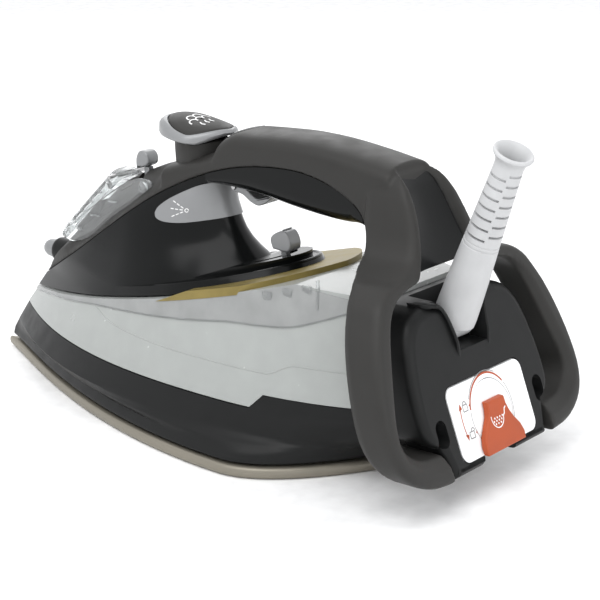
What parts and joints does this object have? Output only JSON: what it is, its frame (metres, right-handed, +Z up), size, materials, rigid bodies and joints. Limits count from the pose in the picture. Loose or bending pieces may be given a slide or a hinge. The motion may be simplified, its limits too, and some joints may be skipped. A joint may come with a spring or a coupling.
{
  "type": "clothes iron",
  "caption": "Steam clothes iron with a water tank, looped two-legged handle, boost button, spray trigger, scale collector and a tilting cord boot.",
  "frame": {"origin": "a point on the underside of the soleplate, on the middle plane, between the nose and the heel", "axes": "+Z up from the flat soleplate, +Y from the nose towards the heel along the iron's length, +X towards the side with the nose on its left"},
  "size_m": [0.1438, 0.3134, 0.1475],
  "materials": {
    "handle_skin": "moulded plastic with a fine grain",
    "gloss_black": "polished black plastic",
    "satin_black": "satin heat-resistant plastic",
    "clear_plastic": "smoky translucent plastic",
    "silver_plastic": "silver lacquer on plastic",
    "gold_plastic": "gold-tone metallic lacquer on plastic",
    "white_plastic": "pale grey-white plastic",
    "orange_plastic": "orange plastic",
    "boot_rubber": "soft white elastomer",
    "rubber": "black rubber",
    "sole_metal": "champagne-tone coated aluminium",
    "cast_alloy": "rough cast alloy",
    "steel": "plain steel",
    "brass": "plain brass",
    "circuit_board": "green circuit board"
  },
  "bodies": {
    "iron_body": {"soleplate": "sole_metal", "heater_casting": "cast_alloy", "heating_element": "steel", "chamber_gasket": "rubber", "chamber_cover": "steel", "thermal_fuse": "white_plastic", "thermostat_body": "brass", "skirt": "satin_black", "water_tank": "clear_plastic", "gold_dial_plate": "gold_plastic", "upper_shell": "gloss_black", "column_collar": "silver_plastic", "nozzle_housing": "satin_black", "spray_nozzle": "silver_plastic", "handle_shell": "handle_skin", "grip_underside": "gloss_black", "handle_rear_panel": "gloss_black", "boost_button_base": "handle_skin", "boost_pump": "white_plastic", "boost_spring": "steel", "steam_valve_seat": "brass", "filler_door_pin": "steel", "filler_neck": "satin_black", "trigger_pin": "steel", "trigger_spring": "steel", "spray_pump": "white_plastic", "spray_tube": "clear_plastic", "indicator_lens": "clear_plastic", "rear_cover": "satin_black", "label_plate": "white_plastic", "collector_socket": "steel", "cover_screw_left": "steel", "cover_screw_right": "steel", "boot_pivot_pin": "steel", "boot_cradle": "satin_black", "terminal_block": "white_plastic", "wiring_loom": "rubber", "control_board": "circuit_board"},
    "boost_button": {"boost_button_rim": "silver_plastic", "boost_button_pad": "handle_skin", "boost_plunger": "white_plastic"},
    "spray_trigger": {"spray_trigger": "silver_plastic"},
    "spray_plunger": {"spray_plunger": "white_plastic"},
    "thermostat_dial": {"thermostat_lever": "silver_plastic"},
    "steam_control": {"steam_knob": "silver_plastic"},
    "steam_valve": {"steam_valve_rod": "brass"},
    "filler_door": {"filler_door": "clear_plastic"},
    "collector_carrier": {"collector_seal": "rubber"},
    "scale_collector": {"collector_grip": "orange_plastic", "collector_cup": "white_plastic"},
    "cord_boot": {"cord_boot": "boot_rubber"}
  },
  "joints": [
    {"name": "boost_press", "type": "slide", "parent": "iron_body", "child": "boost_button", "axis": [0, 0, -1], "range_m": [0, 0.0035], "stiffness_N_per_m": 1400, "springref_m": -0.0015, "deforming": ["boost_spring"]},
    {"name": "trigger_pull", "type": "hinge", "parent": "iron_body", "child": "spray_trigger", "pos_m": [0, 0.0095, 0.1094], "axis": [1, 0, 0], "range_deg": [0, 6], "stiffness_Nm_per_rad": 0.25, "springref_deg": -3.44, "deforming": ["trigger_spring"]},
    {"name": "spray_pump_stroke", "type": "slide", "parent": "iron_body", "child": "spray_plunger", "axis": [0, 0, -1], "range_m": [0, 0.001]},
    {"name": "temperature_dial", "type": "hinge", "parent": "iron_body", "child": "thermostat_dial", "pos_m": [0, 0.02, 0.08], "axis": [0, 0, 1], "range_deg": [-40, 40]},
    {"name": "steam_setting", "type": "hinge", "parent": "iron_body", "child": "steam_control", "pos_m": [0, -0.0485, 0.0965], "axis": [0, 1, 0], "range_deg": [-14, 14]},
    {"name": "steam_valve_lift", "type": "slide", "parent": "iron_body", "child": "steam_valve", "axis": [0, 0, 1], "range_m": [-0.0011, 0.0011]},
    {"name": "filler_door_hinge", "type": "hinge", "parent": "iron_body", "child": "filler_door", "pos_m": [0, -0.0635, 0.1044], "axis": [-1, 0, 0], "range_deg": [0, 60]},
    {"name": "collector_pull", "type": "slide", "parent": "iron_body", "child": "collector_carrier", "axis": [0, 0.9348, 0.3551], "range_m": [0, 0.02]},
    {"name": "collector_twist", "type": "hinge", "parent": "collector_carrier", "child": "scale_collector", "pos_m": [0, 0.14842, 0.0322], "axis": [0, 0.9348, 0.3551], "range_deg": [0, 45]},
    {"name": "boot_swing", "type": "hinge", "parent": "iron_body", "child": "cord_boot", "pos_m": [0, 0.1252, 0.0655], "axis": [1, 0, 0], "range_deg": [-35, 5]}
  ],
  "couplings": [
    {"joint": "spray_pump_stroke", "follows": "trigger_pull", "m_per_rad": 0.0095},
    {"joint": "steam_valve_lift", "follows": "steam_setting", "m_per_rad": 0.0045}
  ]
}
